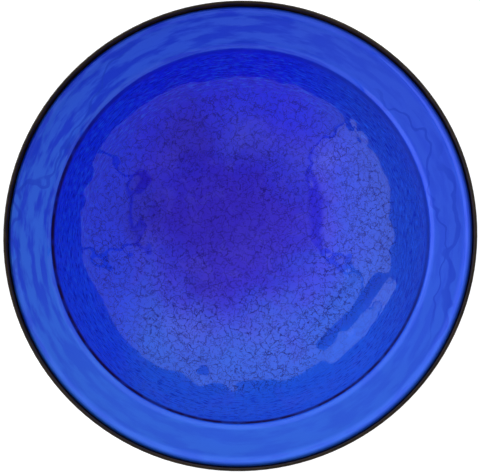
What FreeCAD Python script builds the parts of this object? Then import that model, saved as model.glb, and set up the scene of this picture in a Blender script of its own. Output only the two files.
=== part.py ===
"""A low bird bath: a crackled cobalt glass bowl that hangs by its flange in a steel hoop on three
scroll legs. Millimetres, +Z up, origin on the ground under the middle of the bowl."""

import FreeCAD, Part
import math
import os
import Sketcher
from FreeCAD import Placement, Rotation, Vector

# Every size that can be set by itself: its alias in the sheet, its value and what it is.
SIZES = [
    ("overall_dia", 356, "outside of the hoop"),
    ("stand_height", 130, "ground to the top of the hoop"),
    ("hoop_bar", 2.4, "thickness of the hoop's upright wall"),
    ("hoop_height", 19.2, "height of the hoop's upright wall, ledge included"),
    ("hoop_round", 1.1, "rounding of the hoop's top edge"),
    ("ledge_reach", 22, "how far the ledge reaches in from the upright wall"),
    ("ledge_thick", 3, "thickness of the ledge"),
    ("seat_gap", 0.5, "gap all round between the glass edge and the hoop"),
    ("glass_wall", 5, "thickness of the glass"),
    ("coat_wall", 0.6, "silvering and its protective paint under the glass"),
    ("flange_width", 32, "neck of the bowl to the edge of the glass"),
    ("flange_slope", 10, "degrees that the flange rises outwards"),
    ("lip_curve", 14, "radius of the upturned lip, on the water side"),
    ("lip_slope", 32, "degrees of slope at the end of the lip"),
    ("brim_fillet", 2.5, "radius under the flange, where the wall meets it"),
    ("bottom_curve", 200, "radius of the bottom of the bowl, on the water side"),
    ("bottom_angle", 30, "degrees of slope where the bottom meets the wall"),
    ("wall_angle", 62, "degrees of slope at the top of the wall"),
    ("bumper_dia", 10, "silicone bumper"),
    ("bumper_height", 3, "silicone bumper, at its middle"),
    ("bumper_gap", 0.3, "gap between a bumper and the coating at rest"),
    ("leg_width", 14, "width of the flat bar of a leg"),
    ("leg_thick", 4, "thickness of the flat bar of a leg"),
    ("leg_corner", 1, "rounding of the flat bar's long edges"),
    ("leg_bend", 6, "centreline radius of the bend under the ledge"),
    ("top_run", 8, "straight of the leg under that bend"),
    ("leg_setback", 30, "how far the waist stands in from the top of the leg"),
    ("waist_run", 16, "straight of the leg at its waist"),
    ("heel_curve", 14, "centreline radius of the bend above the foot"),
    ("foot_flat", 10, "straight of the leg along the ground"),
    ("toe_curve", 8, "centreline radius of the curled toe"),
    ("toe_angle", 205, "degrees that the toe curls through"),
    ("tie_thick", 3, "thickness of the tie hoop"),
    ("tie_height", 12, "height of the tie hoop"),
    ("screw_dia", 5, "all screws"),
    ("hole_gap", 0.2, "gap round a screw in a drilled hole"),
    ("thread_gap", 0.05, "gap round a screw in its nut"),
    ("screw_inset", 8.5, "leg screw in from the ledge's inner edge"),
    ("sunk_rim", 2.1, "how far a countersunk head stands out beyond its shank"),
    ("sunk_height", 2.4, "height of that head"),
    ("button_rim", 2.25, "how far a button head stands out beyond its shank"),
    ("button_height", 2.7, "height of that head"),
    ("socket_width", 3, "hexagon socket across flats"),
    ("socket_depth", 1.6, "depth of that socket"),
    ("nut_wall", 1.5, "shank to the flats of a cap nut"),
    ("nut_height", 4, "hexagon part of a cap nut"),
    ("dome_height", 3.6, "dome of a cap nut"),
    ("thread_length", 4.6, "how far a screw goes into its nut"),
    ("bore_spare", 0.6, "how much deeper the nut's bore is than that"),
    ("pad_dia", 14, "rubber foot"),
    ("pad_height", 4, "rubber foot below the leg"),
    ("pad_round", 1, "rounding of the rubber foot"),
    ("stem_dia", 5, "stem of the rubber foot through the leg"),
    ("knob_dia", 7.6, "knob that holds the stem"),
    ("knob_height", 1.8, "height of that knob"),
]
LEG_ANGLES = [90, 210, 330]  # degrees about +Z: one leg behind, two in front
BUMPER_COUNT = 6

doc = FreeCAD.newDocument("bird_bath")
sheet = doc.addObject("Spreadsheet::Sheet", "sizes")


class Size:
    """A size as a number, and as the expression that ties a property to the sheet's cells."""

    def __init__(self, number, text):
        self.number = float(number)
        self.text = text

    def __add__(self, other):
        other = as_size(other)
        return Size(self.number + other.number, f"({self.text} + {other.text})")

    def __sub__(self, other):
        other = as_size(other)
        return Size(self.number - other.number, f"({self.text} - {other.text})")

    def __mul__(self, other):
        other = as_size(other)
        return Size(self.number * other.number, f"({self.text} * {other.text})")

    def __truediv__(self, other):
        other = as_size(other)
        return Size(self.number / other.number, f"({self.text} / {other.text})")

    def __neg__(self):
        return Size(-self.number, f"(-1 * {self.text})")


def as_size(value):
    return value if isinstance(value, Size) else Size(value, str(value))


def fill_sheet():
    """Writes the sizes into the sheet and returns them by alias."""
    found = {}
    for row, (alias, value, meaning) in enumerate(SIZES, 1):
        sheet.set(f"A{row}", meaning)
        sheet.set(f"B{row}", str(value))
        sheet.setAlias(f"B{row}", alias)
        found[alias] = Size(value, f"sizes.{alias}")
    doc.recompute()
    return found


size = fill_sheet()

# Places that follow from the sizes.
hoop_radius = size["overall_dia"] / 2
hoop_inside = hoop_radius - size["hoop_bar"]
hoop_bottom = size["stand_height"] - size["hoop_height"]
ledge_top = hoop_bottom + size["ledge_thick"]
ledge_inside = hoop_inside - size["ledge_reach"]
screw_circle = ledge_inside + size["screw_inset"]
bumper_circle = ledge_inside + size["ledge_reach"] / 2
glass_radius = hoop_inside - size["seat_gap"]
neck_radius = glass_radius - size["flange_width"]
seat_height = ledge_top + size["bumper_height"] + size["bumper_gap"]
both_walls = size["glass_wall"] + size["coat_wall"]
brim_curve = size["brim_fillet"] + both_walls
leg_top = hoop_inside - size["leg_thick"] / 2 - size["seat_gap"]
tab_height = hoop_bottom - size["leg_thick"] / 2
waist_radius = leg_top - size["leg_setback"]
foot_height = size["pad_height"] + size["leg_thick"] / 2
foot_start = waist_radius + size["heel_curve"]
foot_middle = foot_start + size["foot_flat"] / 2
waist_bottom = foot_height + size["heel_curve"]
waist_middle = waist_bottom + size["waist_run"] / 2
tie_radius = waist_radius - size["leg_thick"] / 2
tie_inside = tie_radius - size["tie_thick"]
hole_dia = size["screw_dia"] + size["hole_gap"] * 2
sunk_dia = size["screw_dia"] + size["sunk_rim"] * 2
button_dia = size["screw_dia"] + size["button_rim"] * 2
nut_width = size["screw_dia"] + size["nut_wall"] * 2


# ---- helpers for bodies and sketches -------------------------------------------------------


def new_body(name):
    body = doc.addObject("PartDesign::Body", name)
    body.Label = name
    return body


def new_sketch(body, role, name, offset=None):
    """A sketch on one of the body's own origin planes, moved along that plane's normal."""
    sketch = body.newObject("Sketcher::SketchObject", name)
    plane = next(f for f in body.Origin.OriginFeatures if f.Role == role)
    sketch.AttachmentSupport = [(plane, "")]
    sketch.MapMode = "FlatFace"
    if offset is not None:
        sketch.AttachmentOffset = Placement(Vector(0, 0, offset.number), Rotation())
        sketch.setExpression("AttachmentOffset.Base.z", offset.text)
    return sketch


def bind(sketch, value, kind, *where):
    """A dimension in the sketch, tied to the sheet."""
    number = math.radians(value.number) if kind == "Angle" else value.number
    index = sketch.addConstraint(Sketcher.Constraint(kind, *where, number))
    text = f"{value.text} * 1 deg" if kind == "Angle" else value.text
    sketch.setExpression(f"Constraints[{index}]", text)


def place(sketch, geometry, point, across, up):
    """Fixes a point of the sketch at a place measured from its origin."""
    for value, kind in ((across, "DistanceX"), (up, "DistanceY")):
        if value.number == 0:
            axis = -2 if kind == "DistanceX" else -1
            sketch.addConstraint(Sketcher.Constraint("PointOnObject", geometry, point, axis))
        else:
            bind(sketch, value, kind, -1, 1, geometry, point)


def outline(sketch, corners):
    """A closed outline of straight lines whose corners are places tied to the sheet."""
    corners = [(as_size(across), as_size(up)) for across, up in corners]
    points = [Vector(across.number, up.number, 0) for across, up in corners]
    for first, second in zip(points, points[1:] + points[:1]):
        sketch.addGeometry(Part.LineSegment(first, second))
    count = len(points)
    for line in range(count):
        after = (line + 1) % count
        sketch.addConstraint(Sketcher.Constraint("Coincident", line, 2, after, 1))
    for line, (across, up) in enumerate(corners):
        place(sketch, line, 1, across, up)


def circle(sketch, across, up, diameter):
    across, up = as_size(across), as_size(up)
    centre = Vector(across.number, up.number, 0)
    index = sketch.addGeometry(Part.Circle(centre, Vector(0, 0, 1), diameter.number / 2))
    bind(sketch, diameter, "Diameter", index)
    place(sketch, index, 3, across, up)


def hexagon(sketch, width):
    """A regular hexagon about the sketch's origin, with two flats along its first axis."""
    corner_radius = width.number / math.sqrt(3)
    corners = []
    for step in range(6):
        turn = math.radians(60 * step)
        corners.append(Vector(corner_radius * math.cos(turn), corner_radius * math.sin(turn), 0))
    for first, second in zip(corners, corners[1:] + corners[:1]):
        sketch.addGeometry(Part.LineSegment(first, second))
    ring = sketch.addGeometry(Part.Circle(Vector(), Vector(0, 0, 1), corner_radius), True)
    for line in range(6):
        sketch.addConstraint(Sketcher.Constraint("Coincident", line, 2, (line + 1) % 6, 1))
        sketch.addConstraint(Sketcher.Constraint("PointOnObject", line, 1, ring))
    for line in range(5):
        sketch.addConstraint(Sketcher.Constraint("Equal", line, line + 1))
    sketch.addConstraint(Sketcher.Constraint("Coincident", ring, 3, -1, 1))
    sketch.addConstraint(Sketcher.Constraint("PointOnObject", 0, 1, -1))
    bind(sketch, width / math.sqrt(3), "Radius", ring)


def revolve(body, sketch, kind="PartDesign::Revolution", name="turned"):
    """Turns the sketch right round its own vertical axis."""
    feature = body.newObject(kind, name)
    feature.Profile = sketch
    feature.ReferenceAxis = (sketch, ["V_Axis"])
    feature.Angle = 360
    return feature


def extrude(body, sketch, kind, length, name, reverse=False, middle=False):
    feature = body.newObject(kind, name)
    feature.Profile = sketch
    feature.Length = length.number
    feature.setExpression("Length", length.text)
    feature.Reversed = reverse
    if middle:
        feature.SideType = "Symmetric"
    return feature


def repeat_round(body, features, angles):
    """Repeats features about +Z: the first stands at 0 degrees before the body is turned."""
    pattern = body.newObject("PartDesign::PolarPattern", "round_the_axis")
    pattern.Originals = features
    pattern.Axis = (next(f for f in body.Origin.OriginFeatures if f.Role == "Z_Axis"), [""])
    pattern.Angle = 360
    pattern.Occurrences = len(angles)
    body.Tip = pattern
    return pattern


def turn(body, angle):
    body.Placement = Placement(Vector(), Rotation(Vector(0, 0, 1), angle))


def stand_up(body, across, up, tilt, angle):
    """Sets a piece made about its own +Z at a place in a leg's plane, tipped there, then turns it."""
    seat = Placement(Vector(across.number, 0, up.number), Rotation(Vector(0, 1, 0), tilt))
    body.Placement = Placement(Vector(), Rotation(Vector(0, 0, 1), angle)).multiply(seat)
    about = f"({angle} deg)"
    body.setExpression("Placement.Base.x", f"{across.text} * cos{about}")
    body.setExpression("Placement.Base.y", f"{across.text} * sin{about}")
    body.setExpression("Placement.Base.z", up.text)


# ---- the bowl ------------------------------------------------------------------------------


def arc(centre, radius, first, last):
    """An arc of a circle, anticlockwise from one angle to the other, in degrees."""
    round_one = Part.Circle(centre, Vector(0, 0, 1), radius)
    return Part.ArcOfCircle(round_one, math.radians(first), math.radians(last))


def along(degrees):
    """The unit direction of a slope, turned a quarter clockwise: from a hollow's centre to it."""
    turned = math.radians(degrees - 90)
    return Vector(math.cos(turned), math.sin(turned), 0)


def section_centres():
    """Where the bowl's arcs are centred and its flange meets the lip, on the water side."""
    bottom, wall = size["bottom_angle"].number, size["wall_angle"].number
    slope, lip = size["flange_slope"].number, size["lip_slope"].number
    bottom_curve, lip_curve = size["bottom_curve"].number, size["lip_curve"].number
    rise = math.sin(math.radians(wall)) - math.sin(math.radians(bottom))
    left_over = neck_radius.number - bottom_curve * math.sin(math.radians(bottom))
    wall_curve = left_over / rise
    half_wall = size["glass_wall"].number / 2
    bottom_centre = Vector(0, 0, 0)
    wall_centre = bottom_centre + along(bottom) * (bottom_curve - wall_curve)
    neck = wall_centre + along(wall) * wall_curve
    brim_centre = neck + along(wall) * brim_curve.number
    brim_end = brim_centre - along(slope) * brim_curve.number
    edge_across = glass_radius.number - half_wall
    lip_across = edge_across - along(lip).x * (lip_curve + half_wall)
    flange_end_across = lip_across + along(slope).x * lip_curve
    run = (flange_end_across - brim_end.x) / math.cos(math.radians(slope))
    flange_end = brim_end + along(slope + 90) * run
    lip_centre = flange_end - along(slope) * lip_curve
    under = brim_end + along(slope) * both_walls.number
    climb = (bumper_circle.number - under.x) * math.tan(math.radians(slope))
    lift = Vector(0, seat_height.number - under.y - climb, 0)
    centres = [c + lift for c in (bottom_centre, wall_centre, brim_centre, lip_centre)]
    return centres, wall_curve


def add_skin(sketch, depth, construction):
    """One skin of the bowl, a chain of arcs and a line at a depth below the water side.
    Returns its pieces' numbers: bottom, wall, brim, flange and lip."""
    (bottom_c, wall_c, brim_c, lip_c), wall_curve = section_centres()
    bottom, wall = size["bottom_angle"].number, size["wall_angle"].number
    slope, lip = size["flange_slope"].number, size["lip_slope"].number
    brim_end = brim_c - along(slope) * (brim_curve.number - depth)
    lip_start = lip_c + along(slope) * (size["lip_curve"].number + depth)
    pieces = [
        arc(bottom_c, size["bottom_curve"].number + depth, -90, bottom - 90),
        arc(wall_c, wall_curve + depth, bottom - 90, wall - 90),
        arc(brim_c, brim_curve.number - depth, slope + 90, wall + 90),
        Part.LineSegment(brim_end, lip_start),
        arc(lip_c, size["lip_curve"].number + depth, slope - 90, lip - 90),
    ]
    numbers = [sketch.addGeometry(piece, construction) for piece in pieces]
    bottom_n, wall_n, brim_n, flange_n, lip_n = numbers
    for joint in (
        (bottom_n, 2, wall_n, 1),
        (wall_n, 2, brim_n, 2),
        (brim_n, 1, flange_n, 1),
        (flange_n, 2, lip_n, 1),
    ):
        sketch.addConstraint(Sketcher.Constraint("Tangent", *joint))
    sketch.addConstraint(Sketcher.Constraint("PointOnObject", bottom_n, 1, -2))
    return numbers


def add_water_side(sketch, construction):
    """The water side, which holds the bowl's driving sizes."""
    numbers = add_skin(sketch, 0, construction)
    bottom_n, wall_n, brim_n, _, lip_n = numbers
    sketch.addConstraint(Sketcher.Constraint("PointOnObject", bottom_n, 3, -2))
    bind(sketch, size["bottom_curve"], "Radius", bottom_n)
    bind(sketch, brim_curve, "Radius", brim_n)
    bind(sketch, size["lip_curve"], "Radius", lip_n)
    bind(sketch, size["bottom_angle"], "Angle", bottom_n)
    bind(sketch, size["wall_angle"] - size["bottom_angle"], "Angle", wall_n)
    bind(sketch, size["wall_angle"] - size["flange_slope"], "Angle", brim_n)
    bind(sketch, size["lip_slope"] - size["flange_slope"], "Angle", lip_n)
    bind(sketch, neck_radius, "DistanceX", -1, 1, wall_n, 2)
    return numbers


def add_under_side(sketch, water_side, depth):
    """A skin at a depth below the water side, about the same centres."""
    numbers = add_skin(sketch, depth.number, False)
    for here, above in zip(numbers, water_side):
        if here != numbers[3]:
            sketch.addConstraint(Sketcher.Constraint("Coincident", here, 3, above, 3))
    sketch.addConstraint(Sketcher.Constraint("Parallel", numbers[3], water_side[3]))
    bind(sketch, size["bottom_curve"] + depth, "Radius", numbers[0])
    return numbers


def add_round_edge(sketch, water_side, under_side, construction):
    """The glass's full round edge, which sets the radius of the bowl."""
    (_, _, _, lip_c), _ = section_centres()
    half_wall = size["glass_wall"].number / 2
    lip = size["lip_slope"].number
    centre = lip_c + along(lip) * (size["lip_curve"].number + half_wall)
    edge = sketch.addGeometry(arc(centre, half_wall, lip - 90, lip + 90), construction)
    sketch.addConstraint(Sketcher.Constraint("Tangent", edge, 1, under_side[4], 2))
    sketch.addConstraint(Sketcher.Constraint("Tangent", edge, 2, water_side[4], 2))
    edge_across = glass_radius - size["glass_wall"] / 2
    bind(sketch, edge_across, "DistanceX", -1, 1, edge, 3)


def add_seat(sketch, lowest_skin):
    """Stands the bowl's flange on the bumpers."""
    seat = Vector(bumper_circle.number, seat_height.number, 0)
    point = sketch.addGeometry(Part.Point(seat), True)
    bind(sketch, bumper_circle, "DistanceX", -1, 1, point, 1)
    bind(sketch, seat_height, "DistanceY", -1, 1, point, 1)
    sketch.addConstraint(Sketcher.Constraint("PointOnObject", point, 1, lowest_skin[3]))


def close_on_axis(sketch, upper_skin, lower_skin):
    """The short line on the axis that closes a section."""
    top, low = sketch.getPoint(upper_skin[0], 1), sketch.getPoint(lower_skin[0], 1)
    line = sketch.addGeometry(Part.LineSegment(top, low))
    sketch.addConstraint(Sketcher.Constraint("Coincident", line, 1, upper_skin[0], 1))
    sketch.addConstraint(Sketcher.Constraint("Coincident", line, 2, lower_skin[0], 1))


def glass_bowl():
    body = new_body("glass_bowl")
    sketch = new_sketch(body, "XZ_Plane", "bowl_section")
    water_side = add_water_side(sketch, False)
    under_side = add_under_side(sketch, water_side, size["glass_wall"])
    add_round_edge(sketch, water_side, under_side, False)
    paint_side = add_under_side(sketch, water_side, both_walls)
    for number in paint_side:
        sketch.setConstruction(number, True)
    hold_paint_end(sketch, under_side, paint_side, True)
    add_seat(sketch, paint_side)
    close_on_axis(sketch, water_side, under_side)
    revolve(body, sketch)


def hold_paint_end(sketch, under_side, paint_side, construction):
    """The line across the coating at the glass's edge, square to both of its skins."""
    start, end = sketch.getPoint(under_side[4], 2), sketch.getPoint(paint_side[4], 2)
    line = sketch.addGeometry(Part.LineSegment(start, end), construction)
    sketch.addConstraint(Sketcher.Constraint("Coincident", line, 1, under_side[4], 2))
    sketch.addConstraint(Sketcher.Constraint("Coincident", line, 2, paint_side[4], 2))
    sketch.addConstraint(Sketcher.Constraint("PointOnObject", under_side[4], 3, line))


def backing_coat():
    """The silvering and its dark protective paint, a skin all over the underside of the glass."""
    body = new_body("backing_coat")
    sketch = new_sketch(body, "XZ_Plane", "coat_section")
    water_side = add_water_side(sketch, True)
    under_side = add_under_side(sketch, water_side, size["glass_wall"])
    add_round_edge(sketch, water_side, under_side, True)
    paint_side = add_under_side(sketch, water_side, both_walls)
    hold_paint_end(sketch, under_side, paint_side, False)
    add_seat(sketch, paint_side)
    close_on_axis(sketch, under_side, paint_side)
    revolve(body, sketch)


# ---- the hoop and what the bowl rests on ---------------------------------------------------


def sunk_hole(body):
    """Cuts one countersunk hole through the ledge, on the first axis of the body."""
    sketch = new_sketch(body, "XZ_Plane", "sunk_hole_section")
    wall, mouth = hole_dia / 2, sunk_dia / 2 + size["thread_gap"]
    head_taper = size["sunk_height"] / size["sunk_rim"]
    corners = [
        (screw_circle, hoop_bottom - 1),
        (screw_circle + wall, hoop_bottom - 1),
        (screw_circle + wall, ledge_top - (mouth - wall) * head_taper),
        (screw_circle + mouth, ledge_top),
        (screw_circle + mouth, ledge_top + 1),
        (screw_circle, ledge_top + 1),
    ]
    outline(sketch, corners)
    groove = body.newObject("PartDesign::Groove", "sunk_hole")
    groove.Profile = sketch
    groove.ReferenceAxis = (sketch, ["Edge6"])
    groove.Angle = 360
    return groove


def rim_hoop():
    body = new_body("rim_hoop")
    sketch = new_sketch(body, "XZ_Plane", "hoop_section")
    corners = [
        (ledge_inside, hoop_bottom),
        (hoop_radius, hoop_bottom),
        (hoop_radius, size["stand_height"]),
        (hoop_inside, size["stand_height"]),
        (hoop_inside, ledge_top),
        (ledge_inside, ledge_top),
    ]
    outline(sketch, corners)
    ring = revolve(body, sketch)
    doc.recompute()
    top_edges = []
    for number, edge in enumerate(ring.Shape.Edges, 1):
        on_top = abs(edge.BoundBox.ZMin - size["stand_height"].number) < 1e-6
        if on_top and edge.BoundBox.ZLength < 1e-6 and edge.Length > 100:
            top_edges.append(f"Edge{number}")
    rounding = body.newObject("PartDesign::Fillet", "top_rounding")
    rounding.Base = (ring, top_edges)
    rounding.Radius = size["hoop_round"].number
    rounding.setExpression("Radius", size["hoop_round"].text)
    doc.recompute()
    hole = sunk_hole(body)
    doc.recompute()
    repeat_round(body, [hole], LEG_ANGLES)
    turn(body, LEG_ANGLES[0])


def bumper(number):
    """A silicone bumper whose top follows the slope of the flange above it."""
    angle = 360 / BUMPER_COUNT * number
    body = new_body(f"bumper_{number + 1}")
    sketch = new_sketch(body, "XZ_Plane", "bumper_section")
    half = size["bumper_dia"] / 2
    climb = Size(
        half.number * math.tan(math.radians(size["flange_slope"].number)),
        f"({half.text} * tan({size['flange_slope'].text} * 1 deg))",
    )
    top = ledge_top + size["bumper_height"]
    corners = [
        (bumper_circle - half, ledge_top),
        (bumper_circle + half, ledge_top),
        (bumper_circle + half, top + climb),
        (bumper_circle - half, top - climb),
    ]
    outline(sketch, corners)
    extrude(body, sketch, "PartDesign::Pad", size["bumper_dia"], "block", middle=True)
    doc.recompute()
    ring = new_sketch(body, "XY_Plane", "bumper_ring", ledge_top - 1)
    circle(ring, bumper_circle, 0, size["bumper_dia"])
    circle(ring, bumper_circle, 0, size["bumper_dia"] * 2)
    waste = size["bumper_height"] * 3
    extrude(body, ring, "PartDesign::Pocket", waste, "round_off", reverse=True)
    turn(body, angle)


# ---- the legs ------------------------------------------------------------------------------


def leg_path(sketch):
    """The centreline of a leg, from the tab under the ledge to the curled toe."""
    bend, heel, toe = (size[n].number for n in ("leg_bend", "heel_curve", "toe_curve"))
    top, waist, tab = leg_top.number, waist_radius.number, tab_height.number
    foot, start = foot_height.number, foot_start.number
    s_top = tab - bend - size["top_run"].number
    s_bottom = waist_bottom.number + size["waist_run"].number
    swing = 2 * math.degrees(math.atan((top - waist) / (s_top - s_bottom)))
    curve = (s_top - s_bottom) / (2 * math.sin(math.radians(swing)))
    end = start + size["foot_flat"].number
    tab_start = ledge_inside.number
    pieces = [
        Part.LineSegment(Vector(tab_start, tab, 0), Vector(top - bend, tab, 0)),
        arc(Vector(top - bend, tab - bend, 0), bend, 0, 90),
        Part.LineSegment(Vector(top, tab - bend, 0), Vector(top, s_top, 0)),
        arc(Vector(top - curve, s_top, 0), curve, -swing, 0),
        arc(Vector(waist + curve, s_bottom, 0), curve, 180 - swing, 180),
        Part.LineSegment(Vector(waist, s_bottom, 0), Vector(waist, foot + heel, 0)),
        arc(Vector(start, foot + heel, 0), heel, 180, 270),
        Part.LineSegment(Vector(start, foot, 0), Vector(end, foot, 0)),
        arc(Vector(end, foot + toe, 0), toe, -90, size["toe_angle"].number - 90),
    ]
    tab_n, bend_n, top_n, s_one, s_two, waist_n, heel_n, foot_n, toe_n = (
        sketch.addGeometry(piece) for piece in pieces
    )
    for joint in (
        (tab_n, 2, bend_n, 2),
        (bend_n, 1, top_n, 1),
        (top_n, 2, s_one, 2),
        (s_one, 1, s_two, 1),
        (s_two, 2, waist_n, 1),
        (waist_n, 2, heel_n, 1),
        (heel_n, 2, foot_n, 1),
        (foot_n, 2, toe_n, 1),
    ):
        sketch.addConstraint(Sketcher.Constraint("Tangent", *joint))
    sketch.addConstraint(Sketcher.Constraint("Horizontal", tab_n))
    sketch.addConstraint(Sketcher.Constraint("Vertical", top_n))
    sketch.addConstraint(Sketcher.Constraint("Vertical", waist_n))
    sketch.addConstraint(Sketcher.Constraint("Horizontal", foot_n))
    sketch.addConstraint(Sketcher.Constraint("Equal", s_one, s_two))
    place(sketch, tab_n, 1, ledge_inside, tab_height)
    bind(sketch, leg_top, "DistanceX", -1, 1, top_n, 1)
    bind(sketch, size["leg_bend"], "Radius", bend_n)
    bind(sketch, size["top_run"], "DistanceY", top_n, 2, top_n, 1)
    bind(sketch, waist_radius, "DistanceX", -1, 1, waist_n, 1)
    bind(sketch, size["waist_run"], "DistanceY", waist_n, 2, waist_n, 1)
    bind(sketch, size["heel_curve"], "Radius", heel_n)
    bind(sketch, foot_height, "DistanceY", -1, 1, foot_n, 1)
    bind(sketch, size["foot_flat"], "DistanceX", foot_n, 1, foot_n, 2)
    bind(sketch, size["toe_curve"], "Radius", toe_n)
    bind(sketch, size["toe_angle"], "Angle", toe_n)
    return len(pieces)


def bar_section(sketch):
    """The flat bar's section with rounded corners, about the middle of the leg's tab."""
    half, thick = size["leg_width"] / 2, size["leg_thick"] / 2
    corner = size["leg_corner"]
    wide, tall, bead = half.number, thick.number, corner.number
    middle = tab_height.number
    sides = [
        ((-wide + bead, -tall), (wide - bead, -tall)),
        ((wide, -tall + bead), (wide, tall - bead)),
        ((wide - bead, tall), (-wide + bead, tall)),
        ((-wide, tall - bead), (-wide, -tall + bead)),
    ]
    lines = []
    for (x0, y0), (x1, y1) in sides:
        segment = Part.LineSegment(Vector(x0, y0 + middle, 0), Vector(x1, y1 + middle, 0))
        lines.append(sketch.addGeometry(segment))
    arcs = []
    for step, (sign_x, sign_y) in enumerate(((1, -1), (1, 1), (-1, 1), (-1, -1))):
        centre = Vector(sign_x * (wide - bead), sign_y * (tall - bead) + middle, 0)
        first = 90 * (step - 1)
        arcs.append(sketch.addGeometry(arc(centre, bead, first, first + 90)))
    for step in range(4):
        after = (step + 1) % 4
        sketch.addConstraint(Sketcher.Constraint("Tangent", lines[step], 2, arcs[step], 1))
        sketch.addConstraint(Sketcher.Constraint("Tangent", arcs[step], 2, lines[after], 1))
    for line in (lines[0], lines[2]):
        sketch.addConstraint(Sketcher.Constraint("Horizontal", line))
    for line in (lines[1], lines[3]):
        sketch.addConstraint(Sketcher.Constraint("Vertical", line))
    for step in range(3):
        sketch.addConstraint(Sketcher.Constraint("Equal", arcs[step], arcs[step + 1]))
    bind(sketch, corner, "Radius", arcs[0])
    bind(sketch, half, "DistanceX", -1, 1, lines[1], 1)
    bind(sketch, half, "DistanceX", lines[3], 1, -1, 1)
    bind(sketch, tab_height - thick, "DistanceY", -1, 1, lines[0], 1)
    bind(sketch, tab_height + thick, "DistanceY", -1, 1, lines[2], 1)


def leg(number, angle):
    body = new_body(f"leg_{number}")
    path = new_sketch(body, "XZ_Plane", "leg_path")
    count = leg_path(path)
    section = new_sketch(body, "YZ_Plane", "bar_section", ledge_inside)
    bar_section(section)
    doc.recompute()
    bar = body.newObject("PartDesign::AdditivePipe", "bar")
    bar.Profile = section
    bar.Spine = (path, [f"Edge{n + 1}" for n in range(count)])
    doc.recompute()
    thick = size["leg_thick"]
    tab_hole = new_sketch(body, "XY_Plane", "tab_hole", hoop_bottom + 1)
    circle(tab_hole, screw_circle, 0, hole_dia)
    extrude(body, tab_hole, "PartDesign::Pocket", thick + 2, "tab_hole_cut")
    foot_hole = new_sketch(body, "XY_Plane", "foot_hole", size["pad_height"] - 1)
    circle(foot_hole, foot_middle, 0, size["stem_dia"] + size["hole_gap"] * 2)
    extrude(body, foot_hole, "PartDesign::Pocket", thick + 2, "foot_hole_cut", reverse=True)
    waist_hole = new_sketch(body, "YZ_Plane", "waist_hole", waist_radius + thick)
    circle(waist_hole, 0, waist_middle, hole_dia)
    extrude(body, waist_hole, "PartDesign::Pocket", thick * 2, "waist_hole_cut")
    turn(body, angle)


def tie_hoop():
    """A flat hoop on edge that ties the waists of the legs together."""
    body = new_body("tie_hoop")
    sketch = new_sketch(body, "XZ_Plane", "tie_section")
    low = waist_middle - size["tie_height"] / 2
    high = waist_middle + size["tie_height"] / 2
    outline(sketch, [(tie_inside, low), (tie_radius, low), (tie_radius, high), (tie_inside, high)])
    revolve(body, sketch)
    doc.recompute()
    drill = new_sketch(body, "YZ_Plane", "tie_hole", tie_radius + 1)
    circle(drill, 0, waist_middle, hole_dia)
    hole = extrude(body, drill, "PartDesign::Pocket", size["tie_thick"] + 3, "tie_hole_cut")
    doc.recompute()
    repeat_round(body, [hole], LEG_ANGLES)
    turn(body, LEG_ANGLES[0])


# ---- fasteners and feet --------------------------------------------------------------------


def socket(body, height):
    """The hexagon socket in the top of a screw."""
    sketch = new_sketch(body, "XY_Plane", "socket", height)
    hexagon(sketch, size["socket_width"])
    extrude(body, sketch, "PartDesign::Pocket", size["socket_depth"], "socket_cut")


def leg_screw(number, angle):
    """A countersunk screw, head up and flush with the ledge. Its own origin is its head's top."""
    body = new_body(f"leg_screw_{number}")
    sketch = new_sketch(body, "XZ_Plane", "screw_section")
    shank = size["screw_dia"] / 2
    length = size["ledge_thick"] + size["leg_thick"] + size["thread_length"]
    corners = [
        (0, 0),
        (sunk_dia / 2, 0),
        (shank, -size["sunk_height"]),
        (shank, -length + 0.5),
        (shank - 0.5, -length),
        (0, -length),
    ]
    outline(sketch, corners)
    revolve(body, sketch)
    doc.recompute()
    socket(body, as_size(0))
    stand_up(body, screw_circle, ledge_top, 0, angle)


def tie_screw(number, angle):
    """A button-head screw, in from outside the leg. Its own origin is under its head."""
    body = new_body(f"tie_screw_{number}")
    sketch = new_sketch(body, "XZ_Plane", "screw_section")
    shank, head = size["screw_dia"] / 2, button_dia / 2
    length = size["leg_thick"] + size["tie_thick"] + size["thread_length"]
    corners = [
        (0, size["button_height"]),
        (head * 0.5, size["button_height"]),
        (head * 0.82, size["button_height"] * 0.72),
        (head, size["button_height"] * 0.2),
        (head, 0),
        (shank, 0),
        (shank, -length + 0.5),
        (shank - 0.5, -length),
        (0, -length),
    ]
    outline(sketch, corners)
    revolve(body, sketch)
    doc.recompute()
    socket(body, size["button_height"])
    stand_up(body, waist_radius + size["leg_thick"] / 2, waist_middle, 90, angle)


def cap_nut(name, across, up, tilt, angle):
    """A domed nut made with its seat at its own origin and its dome along its own +Z."""
    body = new_body(name)
    flats = new_sketch(body, "XY_Plane", "nut_flats")
    hexagon(flats, nut_width)
    extrude(body, flats, "PartDesign::Pad", size["nut_height"], "hexagon")
    doc.recompute()
    dome = new_sketch(body, "XZ_Plane", "dome_section")
    base, rise = nut_width * 0.46, size["dome_height"]
    corners = [(0, size["nut_height"] / 2), (base, size["nut_height"] / 2)]
    for share_across, share_up in ((1, 0), (0.94, 0.36), (0.75, 0.68), (0.42, 0.92), (0, 1)):
        corners.append((base * share_across, size["nut_height"] + rise * share_up))
    outline(dome, corners)
    revolve(body, dome, name="dome")
    doc.recompute()
    bore = new_sketch(body, "XY_Plane", "bore", as_size(-1))
    circle(bore, 0, 0, size["screw_dia"] + size["thread_gap"] * 2)
    depth = size["thread_length"] + size["bore_spare"] + 1
    extrude(body, bore, "PartDesign::Pocket", depth, "bore_cut", reverse=True)
    stand_up(body, across, up, tilt, angle)


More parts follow.
